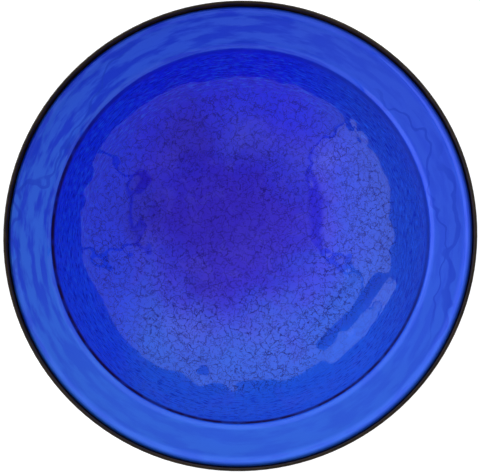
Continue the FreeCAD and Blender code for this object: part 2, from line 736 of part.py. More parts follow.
def foot(number, angle):
    """A push-in rubber foot: a pad on the ground, a stem through the leg and a knob above it."""
    body = new_body(f"foot_{number}")
    sketch = new_sketch(body, "XZ_Plane", "foot_section")
    pad, stem, knob = size["pad_dia"] / 2, size["stem_dia"] / 2, size["knob_dia"] / 2
    corner, above = size["pad_round"], size["pad_height"] + size["leg_thick"]
    corners = [
        (0, 0),
        (pad - corner, 0),
        (pad, corner),
        (pad, size["pad_height"]),
        (stem, size["pad_height"]),
        (stem, above),
        (knob, above),
        (stem * 0.6, above + size["knob_height"]),
        (0, above + size["knob_height"]),
    ]
    outline(sketch, corners)
    revolve(body, sketch)
    stand_up(body, foot_middle, as_size(0), 0, angle)


# ---- build, check and write ----------------------------------------------------------------


def build():
    glass_bowl()
    backing_coat()
    rim_hoop()
    for number in range(BUMPER_COUNT):
        bumper(number)
    tie_hoop()
    for number, angle in enumerate(LEG_ANGLES, 1):
        leg(number, angle)
        leg_screw(number, angle)
        cap_nut(f"leg_nut_{number}", screw_circle, hoop_bottom - size["leg_thick"], 180, angle)
        tie_screw(number, angle)
        nut_seat = tie_inside - size["hole_gap"] / 2
        cap_nut(f"tie_nut_{number}", nut_seat, waist_middle, -90, angle)
        foot(number, angle)
    doc.recompute()


def check():
    """Stops if any object failed or any sub-part isn't one valid solid."""
    for thing in doc.Objects:
        if "Invalid" in thing.State or "Error" in thing.State:
            raise RuntimeError(f"{thing.Label} ({thing.Name}) failed: {thing.State}")
    for body in sub_parts():
        shape = body.Shape
        if shape.isNull() or not shape.isValid() or len(shape.Solids) != 1:
            raise RuntimeError(f"{body.Label} isn't one valid solid")


def sub_parts():
    return [thing for thing in doc.Objects if thing.TypeId == "PartDesign::Body"]


def write():
    os.makedirs("parts", exist_ok=True)
    for body in sub_parts():
        body.Shape.exportStep(f"parts/{body.Label}.step")


build()
check()
write()
print(f"{len(sub_parts())} sub-parts written")
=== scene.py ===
"""Looks for the low bird bath: crackled cobalt bowl, dark bronze hoop, three scroll legs."""

import math

import bmesh
import bpy
import numpy as np
from mathutils import Matrix, Vector


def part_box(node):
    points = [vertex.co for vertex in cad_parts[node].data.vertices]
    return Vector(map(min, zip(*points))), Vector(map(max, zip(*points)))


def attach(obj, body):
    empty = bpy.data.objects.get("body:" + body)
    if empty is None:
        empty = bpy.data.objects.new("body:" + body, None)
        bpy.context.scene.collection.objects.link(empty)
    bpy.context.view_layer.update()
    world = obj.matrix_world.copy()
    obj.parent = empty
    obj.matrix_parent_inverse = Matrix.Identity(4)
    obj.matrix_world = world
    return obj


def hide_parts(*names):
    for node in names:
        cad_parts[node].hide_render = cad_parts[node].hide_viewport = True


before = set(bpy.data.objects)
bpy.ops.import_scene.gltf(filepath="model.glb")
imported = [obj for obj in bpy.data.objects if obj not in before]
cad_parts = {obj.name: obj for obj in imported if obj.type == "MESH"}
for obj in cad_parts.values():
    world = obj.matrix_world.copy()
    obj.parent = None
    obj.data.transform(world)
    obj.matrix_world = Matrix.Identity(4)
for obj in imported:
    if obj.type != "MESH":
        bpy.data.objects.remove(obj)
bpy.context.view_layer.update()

# The bowl's own section, in metres and degrees, as it was turned.
GLASS_WALL = 0.005
COAT_WALL = 0.0006
BOTTOM_CURVE = 0.200
BOTTOM_ANGLE = 30
WALL_ANGLE = 62
FLANGE_SLOPE = 10
FLANGE_WIDTH = 0.0320
BRIM_CURVE = 0.0081
LIP_CURVE = 0.014
LIP_SLOPE = 32
NECK = 143.1  # radius where the wall meets the flange, in millimetres
AROUND = 400  # steps round the bowl
EDGE_STEPS = 13  # steps round the half circle of the glass's edge
WALL_SWELL = (0.045, 0.095)  # where the unevenness grows on the wall, in metres from the axis
FLANGE_CALM = (0.124, 0.142)  # and where it dies down towards the flange

# Dents left by hand in the wall, in millimetres: one end, the other end, reach and height.
# A dent is round where both of its ends are the same.
DENTS = [
    ((142, 14), (142, 14), 56, 2.20),
    ((-50, 136), (-50, 136), 56, -0.80),
    ((111, -37), (88, -68), 11.5, 2.10),
    ((86, -69), (69, -86), 12.5, 2.20),
    ((97, -30), (57, -76), 12, -1.60),
    ((81, -79), (79, -77), 6, -0.75),
    ((103, -56), (99, -60), 7, 0.45),
    ((-31, -107), (-31, -107), 9, 1.00),
    ((-28, -94), (-28, -94), 9, -0.70),
    ((-20, -112), (-20, -112), 6, -0.20),
    ((9, 16), (13, 19), 4, 0.18),
    ((46, 60), (46, 60), 6, 0.26),
    ((52, 46), (52, 46), 5, -0.20),
    ((86, 89), (87, 87), 4.5, 0.45),
    ((93, 79), (95, 76), 4.5, 0.45),
    ((-86, 46), (-80, 50), 9, 0.34),
    ((-82, 6), (-78, 12), 9, -0.34),
    ((-62, -92), (-62, -92), 7, 0.22),
    ((60, 98), (60, 98), 7, 0.22),
    ((18, 118), (18, 118), 8, 0.25),
]
# Patches in the glass: east, north, reach (mm), and how much paler (or deeper, below zero). The paler ones
# are painted reflections of the lights.
REFLECTION_POOLS_AND_PATCHES = [
    (-47, 88, 42, -0.55),
    (-80, 26, 34, -0.45),
    (-34, -34, 26, -0.35),
    (-20, 10, 50, -0.15),
    (2, 84, 36, 0.32),
    (42, 68, 28, 0.25),
    (-43, -70, 34, 0.45),
    (68, 62, 18, 0.45),
    (20, -74, 40, 0.20),
    (-84, 50, 15, -0.45),
    (-84, 4, 14, -0.35),
]

LEGS = 3
BUMPERS = 6


# ---- small helpers for node trees ----------------------------------------------------------


def node(tree, kind, inputs=None, **settings):
    """Adds a node, sets its properties, then fills or links its inputs by name or number."""
    made = tree.nodes.new(kind)
    for name, value in settings.items():
        setattr(made, name, value)
    for key, value in (inputs or {}).items():
        socket = made.inputs[key]
        if isinstance(value, bpy.types.NodeSocket):
            tree.links.new(value, socket)
        else:
            socket.default_value = value
    return made


def maths(tree, operation, *values, clamp=False):
    inputs = dict(enumerate(values))
    made = node(tree, "ShaderNodeMath", inputs, operation=operation, use_clamp=clamp)
    return made.outputs[0]


def vector_maths(tree, operation, *values):
    inputs = dict(enumerate(values))
    made = node(tree, "ShaderNodeVectorMath", inputs, operation=operation)
    return made.outputs["Value" if operation in ("LENGTH", "DOT_PRODUCT") else 0]


def ease(tree, value, start, end, low=0.0, high=1.0):
    """A smooth step of a value from one level to another."""
    inputs = {"Value": value, "From Min": start, "From Max": end, "To Min": low, "To Max": high}
    made = node(tree, "ShaderNodeMapRange", inputs, interpolation_type="SMOOTHSTEP")
    return made.outputs["Result"]


def between(tree, share, first, second):
    """Mixes two plain values."""
    return node(tree, "ShaderNodeMix", {0: share, 2: first, 3: second}, data_type="FLOAT").outputs[0]


def blend(tree, amount, first, second):
    """Mixes two colours."""
    made = node(tree, "ShaderNodeMix", data_type="RGBA")
    sockets = (made.inputs[0], made.inputs[6], made.inputs[7])
    for socket, value in zip(sockets, (amount, first, second)):
        if isinstance(value, bpy.types.NodeSocket):
            tree.links.new(value, socket)
        else:
            socket.default_value = value if isinstance(value, float) else (*value, 1.0)
    return made.outputs[2]


def noise(tree, where, scale, detail=2.0, rough=0.5, twist=0.0):
    inputs = {"Vector": where, "Scale": scale, "Detail": detail, "Roughness": rough, "Distortion": twist}
    return node(tree, "ShaderNodeTexNoise", inputs).outputs["Fac"]


def wandered(tree, place, where, scale, reach):
    """A place pushed about by slow noise, by up to half of the reach each way."""
    inputs = {"Vector": where, "Scale": scale, "Detail": 1.0}
    drift = node(tree, "ShaderNodeTexNoise", inputs).outputs["Color"]
    drift = vector_maths(tree, "SUBTRACT", drift, (0.5, 0.5, 0.5))
    return vector_maths(tree, "ADD", place, vector_maths(tree, "MULTIPLY", drift, reach))


def new_group(name, inputs, outputs):
    """An empty shader group with named sockets. Returns it with its input and output nodes."""
    group = bpy.data.node_groups.new(name, "ShaderNodeTree")
    for label, kind, value in inputs:
        socket = group.interface.new_socket(label, in_out="INPUT", socket_type=kind)
        if value is not None:
            socket.default_value = value
    for label, kind in outputs:
        group.interface.new_socket(label, in_out="OUTPUT", socket_type=kind)
    return group, group.nodes.new("NodeGroupInput"), group.nodes.new("NodeGroupOutput")


def place_group(tree, group, **inputs):
    made = node(tree, "ShaderNodeGroup", node_tree=group)
    for label, value in inputs.items():
        socket = made.inputs[label]
        if isinstance(value, bpy.types.NodeSocket):
            tree.links.new(value, socket)
        else:
            socket.default_value = value
    return made


def new_material(name):
    material = bpy.data.materials.new(name)
    material.use_nodes = True
    tree = material.node_tree
    shader = next(n for n in tree.nodes if n.type == "BSDF_PRINCIPLED")
    where = tree.nodes.new("ShaderNodeTexCoord").outputs["Object"]
    return material, tree, shader, where


def bump(tree, height, distance, strength=1.0):
    inputs = {"Height": height, "Distance": distance, "Strength": strength}
    return node(tree, "ShaderNodeBump", inputs).outputs["Normal"]


# ---- effects that several finishes share ---------------------------------------------------


def crackle_group():
    """Broken crackle lines in hot glass: wide cells, fine cells between them, both wandering."""
    group, given, out = new_group(
        "crackle lines",
        [
            ("Vector", "NodeSocketVector", None),
            ("Cell", "NodeSocketFloat", 6.0),
            ("Line", "NodeSocketFloat", 0.06),
        ],
        [("Wide", "NodeSocketFloat"), ("Fine", "NodeSocketFloat")],
    )
    where, cell, line = (given.outputs[n] for n in ("Vector", "Cell", "Line"))
    per_cell = maths(group, "DIVIDE", 1.0, cell)
    moved = wandered(group, where, where, 0.11, (7.0, 7.0, 7.0))
    moved = wandered(group, moved, where, 0.55, (2.6, 2.6, 2.6))

    def lines(share, offset, low, high, width):
        scale = maths(group, "MULTIPLY", per_cell, share)
        put = vector_maths(group, "ADD", moved, (offset, offset * 0.7, -offset))
        inputs = {"Vector": put, "Scale": scale, "Randomness": 1.0}
        cells = node(group, "ShaderNodeTexVoronoi", inputs, feature="DISTANCE_TO_EDGE")
        wide = maths(group, "MULTIPLY", line, width)
        ratio = maths(group, "DIVIDE", cells.outputs["Distance"], wide)
        drawn = ease(group, ratio, 0.45, 1.0, 1.0, 0.0)
        gaps = ease(group, noise(group, put, 0.26, 2.0, 0.6), low, high)
        return maths(group, "MULTIPLY", drawn, gaps)

    group.links.new(lines(1.0, 0.0, 0.40, 0.47, 1.0), out.inputs["Wide"])
    first = lines(1.8, 31.0, 0.47, 0.54, 1.5)
    second = lines(3.0, 67.0, 0.52, 0.58, 2.2)
    group.links.new(maths(group, "MAXIMUM", first, second), out.inputs["Fine"])
    return group


def drawn_group():
    """Streaks pulled round the bowl: slow along the circumference, quick across it."""
    group, given, out = new_group(
        "drawn streaks",
        [
            ("Vector", "NodeSocketVector", None),
            ("Along", "NodeSocketFloat", 0.05),
            ("Across", "NodeSocketFloat", 1.0),
        ],
        [("Value", "NodeSocketFloat")],
    )
    where, along, across = (given.outputs[n] for n in ("Vector", "Along", "Across"))
    axes = node(group, "ShaderNodeSeparateXYZ", {0: where})
    flat = node(group, "ShaderNodeCombineXYZ", {0: axes.outputs[0], 1: axes.outputs[1], 2: 0.0}).outputs[0]
    radius = vector_maths(group, "LENGTH", flat)
    slow_x = maths(group, "MULTIPLY", axes.outputs[0], along)
    slow_y = maths(group, "MULTIPLY", axes.outputs[1], along)
    quick = maths(group, "MULTIPLY", maths(group, "ADD", radius, axes.outputs[2]), across)
    put = node(group, "ShaderNodeCombineXYZ", {0: slow_x, 1: slow_y, 2: quick}).outputs[0]
    group.links.new(noise(group, put, 1.0, 3.0, 0.55), out.inputs["Value"])
    return group


def grain_group():
    """Orange peel of a sprayed or baked coat, with slower mottling under it."""
    group, given, out = new_group(
        "coat grain",
        [("Vector", "NodeSocketVector", None), ("Size", "NodeSocketFloat", 1.0)],
        [("Peel", "NodeSocketFloat"), ("Mottle", "NodeSocketFloat")],
    )
    fine = maths(group, "DIVIDE", 1.0, given.outputs["Size"])
    group.links.new(noise(group, given.outputs["Vector"], fine, 2.0, 0.5), out.inputs["Peel"])
    slow = maths(group, "MULTIPLY", fine, 0.08)
    group.links.new(noise(group, given.outputs["Vector"], slow, 4.0, 0.6), out.inputs["Mottle"])
    return group


CRACKLE, DRAWN, GRAIN = crackle_group(), drawn_group(), grain_group()


# ---- finishes ------------------------------------------------------------------------------


def in_millimetres(tree, where):
    return vector_maths(tree, "MULTIPLY", where, (1000.0, 1000.0, 1000.0))


def radius_of(tree, where, centre=(0.0, 0.0)):
    """Distance from an upright axis, in the units of the coordinates."""
    moved = vector_maths(tree, "SUBTRACT", where, (*centre, 0.0))
    flat = vector_maths(tree, "MULTIPLY", moved, (1.0, 1.0, 0.0))
    return vector_maths(tree, "LENGTH", flat)


def stops(tree, value, low, high, marks):
    """A colour ramp between two values, with marks of (value, colour)."""
    inputs = {"Value": value, "From Min": low, "From Max": high}
    share = node(tree, "ShaderNodeMapRange", inputs).outputs["Result"]
    ramp = node(tree, "ShaderNodeValToRGB", {0: share})
    band = ramp.color_ramp
    band.interpolation = "B_SPLINE"
    while len(band.elements) < len(marks):
        band.elements.new(0.5)
    for element, (at, colour) in zip(band.elements, sorted(marks)):
        element.position = (at - low) / (high - low)
        element.color = (*colour, 1.0)
    return ramp.outputs["Color"]


def toward(tree, mm, way):
    """How far a point lies along a level direction."""
    return vector_maths(tree, "DOT_PRODUCT", mm, (*way, 0.0))


def reflection_pools_and_patches(tree, mm, colour):
    """Soft deeper places in the glass, and soft paler pools painted in as reflections of the lights."""
    put = wandered(tree, mm, mm, 0.045, (26.0, 26.0, 0.0))
    paler = deeper = 0.0
    for east, north, reach, lift in REFLECTION_POOLS_AND_PATCHES:
        soft_blotch = ease(tree, radius_of(tree, put, (east, north)), 0.0, reach, abs(lift), 0.0)
        if lift > 0:
            paler = maths(tree, "ADD", paler, soft_blotch)
        else:
            deeper = maths(tree, "ADD", deeper, soft_blotch)
    colour = blend(tree, maths(tree, "MINIMUM", deeper, 0.8), colour, (0.022, 0.002, 0.50))
    # Painted reflection: the paler pools stand for the lights reflected in the mirror-backed glass.
    return blend(tree, maths(tree, "MINIMUM", paler, 0.8), colour, (0.092, 0.118, 0.84))


def inner_colour_and_painted_light(tree, mm):
    """The colour inside the bowl: the cobalt's own violet in the deep middle, with painted light making it
    paler to the front and painted shade darkening the right.
    """
    from_middle = radius_of(tree, mm, (-12.0, 17.0))
    soft_blotch = noise(tree, mm, 0.022, 3.0, 0.55, 0.4)
    stirred = maths(tree, "ADD", from_middle, ease(tree, soft_blotch, 0.3, 0.7, -15.0, 15.0))
    # The front ramp is paler than the rear one. This is painted light, blended in by side below.
    marks = [
        (0.0, (0.060, 0.022, 0.78)),
        (40.0, (0.052, 0.024, 0.80)),
        (66.0, (0.040, 0.056, 0.86)),
        (95.0, (0.031, 0.112, 0.84)),
        (118.0, (0.027, 0.134, 0.83)),
        (150.0, (0.020, 0.140, 0.88)),
    ]
    front = stops(tree, stirred, 0.0, 150.0, marks)
    marks = [
        (0.0, (0.056, 0.020, 0.78)),
        (40.0, (0.044, 0.012, 0.74)),
        (66.0, (0.030, 0.012, 0.86)),
        (95.0, (0.014, 0.012, 0.94)),
        (118.0, (0.010, 0.020, 0.99)),
        (150.0, (0.008, 0.036, 0.99)),
    ]
    rear = stops(tree, stirred, 0.0, 150.0, marks)
    side = ease(tree, toward(tree, mm, (0.2, -0.98)), -105.0, 85.0)
    colour = blend(tree, side, rear, front)
    swirl = ease(tree, noise(tree, mm, 0.05, 4.0, 0.6, 0.8), 0.48, 0.72, 0.0, 0.5)
    milky = maths(tree, "MULTIPLY", swirl, ease(tree, from_middle, 50.0, 110.0, 1.0, 0.3))
    colour = blend(tree, milky, colour, (0.094, 0.062, 0.80))
    left = ease(tree, toward(tree, mm, (-1.0, 0.0)), 70.0, 100.0, 0.0, 0.6)
    colour = blend(tree, left, colour, (0.004, 0.040, 0.96))
    # Painted shade: darker towards the right of the bowl.
    right = ease(tree, toward(tree, mm, (0.97, 0.25)), 60.0, 125.0, 0.0, 0.8)
    colour = blend(tree, right, colour, (0.020, 0.082, 0.60))
    return reflection_pools_and_patches(tree, mm, colour)


def meander(tree, mm, radius, rest, way, start, seed, half=1.0):
    """A thin wandering thread of deeper colour along the flange, on one side of it."""
    put = vector_maths(tree, "ADD", mm, (seed, -seed, seed))
    slow = ease(tree, noise(tree, put, 0.014, 0.0), 0.3, 0.7, -12.0, 12.0)
    quick = ease(tree, noise(tree, put, 0.06, 1.0, 0.5), 0.3, 0.7, -3.6, 3.6)
    path = maths(tree, "ADD", maths(tree, "ADD", slow, quick), rest)
    off = maths(tree, "ABSOLUTE", maths(tree, "SUBTRACT", radius, path))
    thread = ease(tree, off, half * 0.7, half * 1.6, 1.0, 0.0)
    there = ease(tree, toward(tree, mm, way), start, start + 18.0)
    return maths(tree, "MULTIPLY", thread, there)


def flange_colour(tree, mm, radius):
    """The plain flange: paler to the front as painted light, with streaks pulled round it and a few dark
    threads.
    """
    # Painted light: the flange is paler to the front and darker to the back.
    side = ease(tree, toward(tree, mm, (-0.45, -0.89)), -150.0, 150.0)
    colour = blend(tree, side, (0.024, 0.098, 0.86), (0.026, 0.155, 0.88))
    streak = place_group(tree, DRAWN, Vector=mm, Along=0.035, Across=0.16).outputs[0]
    drawn_most = ease(tree, toward(tree, mm, (-0.7, 0.7)), -20.0, 130.0, 0.3, 0.9)
    drawn = maths(tree, "MULTIPLY", ease(tree, streak, 0.42, 0.62), drawn_most)
    colour = blend(tree, drawn, colour, (0.002, 0.038, 0.76))
    right = meander(tree, mm, radius, 160.0, (0.98, 0.2), 118.0, 12.0)
    left = meander(tree, mm, radius, 159.0, (-0.9, 0.42), 128.0, 57.0)
    pulled = meander(tree, mm, radius, 154.0, (0.999, -0.04), 142.0, 91.0, 2.0)
    threads = maths(tree, "MAXIMUM", maths(tree, "MAXIMUM", right, left), pulled)
    threads = maths(tree, "MULTIPLY", threads, 0.7)
    return blend(tree, threads, colour, (0.003, 0.050, 0.70))


def cobalt_glass():
    """Mirror-backed cobalt glass, crackled inside the bowl and plain on the flange."""
    material, tree, shader, where = new_material("crackled cobalt glass")
    mm = in_millimetres(tree, where)
    radius = radius_of(tree, mm)
    over_neck = ease(tree, radius, NECK - 0.4, NECK + 1.4)
    colour = blend(tree, over_neck, inner_colour_and_painted_light(tree, mm), flange_colour(tree, mm, radius))

    crackle = place_group(tree, CRACKLE, Vector=mm, Cell=8.2, Line=0.034)
    steep = ease(tree, radius, 114.0, 127.0)
    inner = ease(tree, radius, NECK - 4.0, NECK + 1.0, 1.0, 0.0)
    fine = maths(tree, "MULTIPLY", crackle.outputs["Fine"], 0.75)
    lines = maths(tree, "MULTIPLY", maths(tree, "MAXIMUM", crackle.outputs["Wide"], fine), inner)
    to_front = ease(tree, toward(tree, mm, (0.45, -0.89)), -70.0, 60.0, 0.85, 1.0)
    patchy = ease(tree, noise(tree, mm, 0.03, 2.0), 0.35, 0.62, 0.75, 1.0)
    strength = maths(tree, "MULTIPLY", maths(tree, "MULTIPLY", lines, to_front), patchy)
    strength = maths(tree, "MULTIPLY", strength, ease(tree, steep, 0.0, 1.0, 0.80, 0.25))
    unbroken = ease(tree, toward(tree, mm, (0.77, -0.64)), 101.0, 108.0, 1.0, 0.2)
    strength = maths(tree, "MULTIPLY", strength, unbroken)
    colour = blend(tree, strength, colour, (0.010, 0.001, 0.11))

    strokes = place_group(tree, DRAWN, Vector=mm, Along=0.17, Across=0.85).outputs[0]
    hammered = maths(tree, "MULTIPLY", steep, inner)
    deep_stroke = maths(tree, "MULTIPLY", hammered, ease(tree, strokes, 0.34, 0.48, 0.75, 0.0))
    pale_stroke = maths(tree, "MULTIPLY", hammered, ease(tree, strokes, 0.52, 0.68, 0.0, 0.65))
    colour = blend(tree, deep_stroke, colour, (0.001, 0.006, 0.50))
    colour = blend(tree, pale_stroke, colour, (0.020, 0.150, 0.98))

    # Painted shade: a dark line in the crease where the wall meets the flange. It is strongest on the
    # front-left side, where the steep wall is seen edge-on, and is broken up by noise.
    neck_shade_side = ease(tree, toward(tree, mm, (-0.5, -0.87)), -110.0, 60.0, 0.25, 1.0)
    uneven = ease(tree, noise(tree, mm, 0.09, 2.0), 0.36, 0.56, 0.75, 1.0)
    neck_shade_side = maths(tree, "MULTIPLY", neck_shade_side, uneven)
    below = ease(tree, radius, NECK - 1.9, NECK - 0.5)
    above = ease(tree, radius, NECK + 0.3, NECK + 1.1, 1.0, 0.0)
    neck = maths(tree, "MULTIPLY", maths(tree, "MULTIPLY", below, above), neck_shade_side)
    colour = blend(tree, neck, colour, (0.010, 0.0005, 0.035))
    tree.links.new(colour, shader.inputs["Base Color"])

    rough = ease(tree, noise(tree, mm, 0.05, 2.0), 0.3, 0.7, 0.30, 0.40)
    tree.links.new(rough, shader.inputs["Roughness"])
    shader.inputs["Metallic"].default_value = 0.35
    glazed = ease(tree, strength, 0.0, 1.0, 0.60, 0.1)
    tree.links.new(glazed, shader.inputs["Coat Weight"])
    shader.inputs["Coat Roughness"].default_value = 0.012
    shader.inputs["Coat IOR"].default_value = 1.52
    shader.inputs["Specular IOR Level"].default_value = 0.1
    struck = maths(tree, "MULTIPLY", maths(tree, "MULTIPLY", strokes, hammered), 0.8)
    raised = maths(tree, "SUBTRACT", struck, lines)
    tree.links.new(bump(tree, raised, 0.00016, 0.6), shader.inputs["Normal"])
    return material


def painted_back():
    """Dark protective paint, brushed on round the bowl over the silvering."""
    material, tree, shader, where = new_material("dark backing paint")
    mm = in_millimetres(tree, where)
    streak = place_group(tree, DRAWN, Vector=mm, Along=0.05, Across=0.8).outputs[0]
    grain = place_group(tree, GRAIN, Vector=mm, Size=1.6)
    colour = blend(tree, ease(tree, streak, 0.35, 0.65), (0.012, 0.012, 0.020), (0.026, 0.024, 0.034))
    mottled = ease(tree, grain.outputs["Mottle"], 0.4, 0.7, 0.0, 0.5)
    colour = blend(tree, mottled, colour, (0.040, 0.030, 0.026))
    crackle = place_group(tree, CRACKLE, Vector=mm, Cell=6.4, Line=0.06)
    lines = maths(tree, "MULTIPLY", crackle.outputs["Wide"], 0.5)
    colour = blend(tree, lines, colour, (0.006, 0.005, 0.010))
    tree.links.new(colour, shader.inputs["Base Color"])
    tree.links.new(ease(tree, streak, 0.3, 0.7, 0.32, 0.50), shader.inputs["Roughness"])
    height = maths(tree, "SUBTRACT", maths(tree, "MULTIPLY", streak, 0.7), lines)
    tree.links.new(bump(tree, height, 0.0004, 0.6), shader.inputs["Normal"])
    return material


def bronze_coat(name, rub):
    """Dark bronze powder coat, a little paler where it is handled or rubbed."""
    material, tree, shader, where = new_material(name)
    mm = in_millimetres(tree, where)
    grain = place_group(tree, GRAIN, Vector=mm, Size=1.3)
    mottle = grain.outputs["Mottle"]
    colour = blend(tree, ease(tree, mottle, 0.35, 0.68), (0.014, 0.007, 0.002), (0.034, 0.018, 0.006))
    rubbed = ease(tree, noise(tree, mm, 0.11, 4.0, 0.65), 0.60, 0.74, 0.0, rub)
    colour = blend(tree, rubbed, colour, (0.085, 0.058, 0.038))
    tree.links.new(colour, shader.inputs["Base Color"])
    tree.links.new(ease(tree, mottle, 0.3, 0.7, 0.28, 0.44), shader.inputs["Roughness"])
    shader.inputs["Metallic"].default_value = 0.2
    shader.inputs["Specular IOR Level"].default_value = 0.3
    tree.links.new(bump(tree, grain.outputs["Peel"], 0.00012, 0.55), shader.inputs["Normal"])
    return material


def blackened_steel():
    """Screws and nuts: blackened, with turning marks and the grey of bare steel showing through."""
    material, tree, shader, where = new_material("blackened steel")
    mm = in_millimetres(tree, where)
    grain = place_group(tree, GRAIN, Vector=mm, Size=0.6)
    worn = ease(tree, noise(tree, mm, 0.5, 4.0, 0.7), 0.52, 0.70, 0.0, 0.8)
    colour = blend(tree, worn, (0.030, 0.028, 0.027), (0.20, 0.19, 0.18))
    tree.links.new(colour, shader.inputs["Base Color"])
    tree.links.new(ease(tree, grain.outputs["Mottle"], 0.3, 0.7, 0.26, 0.46), shader.inputs["Roughness"])
    shader.inputs["Metallic"].default_value = 0.9
    tree.links.new(bump(tree, grain.outputs["Peel"], 0.00006, 0.5), shader.inputs["Normal"])
    return material


def clear_silicone():
    material, tree, shader, where = new_material("clear silicone")
    mm = in_millimetres(tree, where)
    haze = noise(tree, mm, 0.5, 3.0, 0.6)
    colour = blend(tree, ease(tree, haze, 0.35, 0.65), (0.62, 0.65, 0.67), (0.80, 0.82, 0.83))
    tree.links.new(colour, shader.inputs["Base Color"])
    tree.links.new(ease(tree, haze, 0.3, 0.7, 0.22, 0.38), shader.inputs["Roughness"])
    shader.inputs["Subsurface Weight"].default_value = 0.35
    shader.inputs["Subsurface Radius"].default_value = (0.003, 0.003, 0.003)
    tree.links.new(bump(tree, haze, 0.0001, 0.4), shader.inputs["Normal"])
    return material


def foot_rubber():
    material, tree, shader, where = new_material("black foot rubber")
    mm = in_millimetres(tree, where)
    grain = place_group(tree, GRAIN, Vector=mm, Size=0.45)
    dusty = ease(tree, grain.outputs["Mottle"], 0.45, 0.75)
    colour = blend(tree, dusty, (0.012, 0.012, 0.012), (0.045, 0.042, 0.038))
    tree.links.new(colour, shader.inputs["Base Color"])
    tree.links.new(ease(tree, dusty, 0.0, 1.0, 0.55, 0.8), shader.inputs["Roughness"])
    tree.links.new(bump(tree, grain.outputs["Peel"], 0.0001, 0.6), shader.inputs["Normal"])
    return material


# ---- the bowl ------------------------------------------------------------------------------


def slope_way(degrees):
    """Unit vector (out, up) square to a slope, pointing down and out from a hollow's centre."""
    turned = math.radians(degrees - 90)
    return np.array((math.cos(turned), math.sin(turned)))


def skin(depth, count):
    """Points (radius, height) along one skin of the bowl, from its axis to the glass's edge."""
    low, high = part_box("glass_bowl")
    rim = (high[0] - low[0]) / 2
    neck = rim - FLANGE_WIDTH
    rise = math.sin(math.radians(WALL_ANGLE)) - math.sin(math.radians(BOTTOM_ANGLE))
    wall_curve = (neck - BOTTOM_CURVE * math.sin(math.radians(BOTTOM_ANGLE))) / rise
    bottom_c = np.array((0.0, low[2] + GLASS_WALL + BOTTOM_CURVE))
    wall_c = bottom_c + slope_way(BOTTOM_ANGLE) * (BOTTOM_CURVE - wall_curve)
    brim_c = wall_c + slope_way(WALL_ANGLE) * (wall_curve + BRIM_CURVE)
    brim_end = brim_c - slope_way(FLANGE_SLOPE) * BRIM_CURVE
    edge_out = rim - GLASS_WALL / 2
    lip_out = edge_out - slope_way(LIP_SLOPE)[0] * (LIP_CURVE + GLASS_WALL / 2)
    level_run = lip_out + slope_way(FLANGE_SLOPE)[0] * LIP_CURVE - brim_end[0]
    run = level_run / math.cos(math.radians(FLANGE_SLOPE))
    lip_c = brim_end + slope_way(FLANGE_SLOPE + 90) * run - slope_way(FLANGE_SLOPE) * LIP_CURVE
    points = []

    def sweep(centre, curve, first, last, share, turned=1):
        for angle in np.linspace(first, last, max(3, int(count * share)))[:-1]:
            points.append(centre + turned * slope_way(angle) * curve)

    sweep(bottom_c, BOTTOM_CURVE + depth, 0, BOTTOM_ANGLE, 0.45)
    sweep(wall_c, wall_curve + depth, BOTTOM_ANGLE, WALL_ANGLE, 0.30)
    sweep(brim_c, BRIM_CURVE - depth, WALL_ANGLE, FLANGE_SLOPE, 0.10, -1)
    start = brim_c - slope_way(FLANGE_SLOPE) * (BRIM_CURVE - depth)
    end = lip_c + slope_way(FLANGE_SLOPE) * (LIP_CURVE + depth)
    points.extend(start + (end - start) * t for t in np.linspace(0, 1, int(count * 0.10))[:-1])
    sweep(lip_c, LIP_CURVE + depth, FLANGE_SLOPE, LIP_SLOPE, 0.08)
    points.append(lip_c + slope_way(LIP_SLOPE) * (LIP_CURVE + depth))
    return points


def turned_shell(name, upper, lower, edge):
    """A closed shell turned about +Z from an upper skin, an outer edge and a lower skin."""
    chain = upper + edge + lower[::-1]
    made = bmesh.new()
    top = made.verts.new((0, 0, chain[0][1]))
    bottom = made.verts.new((0, 0, chain[-1][1]))
    rings = []
    turns = [(math.cos(a), math.sin(a)) for a in np.linspace(0, 2 * math.pi, AROUND, endpoint=False)]
    for out, up in chain[1:-1]:
        rings.append([made.verts.new((out * c, out * s, up)) for c, s in turns])
    for here, after in zip(rings, rings[1:]):
        for i in range(AROUND):
            j = (i + 1) % AROUND
            made.faces.new((here[i], after[i], after[j], here[j]))
    for i in range(AROUND):
        j = (i + 1) % AROUND
        made.faces.new((top, rings[0][i], rings[0][j]))
        made.faces.new((bottom, rings[-1][j], rings[-1][i]))
    bmesh.ops.recalc_face_normals(made, faces=made.faces)
    mesh = bpy.data.meshes.new(name)
    made.to_mesh(mesh)
    made.free()
    return finish_mesh(name, mesh)


def finish_mesh(name, mesh, sharp=None):
    """An object at the origin with smooth shading, split at edges sharper than an angle."""
    piece = bpy.data.objects.new(name, mesh)
    bpy.context.scene.collection.objects.link(piece)
    mesh.shade_smooth()
    if sharp is not None:
        mesh.set_sharp_from_angle(angle=math.radians(sharp))
    return piece


def baked(piece):
    """Turns a piece's modifiers into a plain mesh."""
    graph = bpy.context.evaluated_depsgraph_get()
    mesh = bpy.data.meshes.new_from_object(piece.evaluated_get(graph))
    piece.modifiers.clear()
    old = piece.data
    piece.data = mesh
    bpy.data.meshes.remove(old)


def geometry_tree(name, inputs):
    """A geometry tree with a geometry input and named sizes."""
    tree = bpy.data.node_groups.new(name, "GeometryNodeTree")
    tree.interface.new_socket("Geometry", in_out="INPUT", socket_type="NodeSocketGeometry")
    for label, kind, value in inputs:
        tree.interface.new_socket(label, in_out="INPUT", socket_type=kind).default_value = value
    tree.interface.new_socket("Material", in_out="INPUT", socket_type="NodeSocketMaterial")
    tree.interface.new_socket("Geometry", in_out="OUTPUT", socket_type="NodeSocketGeometry")
    return tree, tree.nodes.new("NodeGroupInput"), tree.nodes.new("NodeGroupOutput")


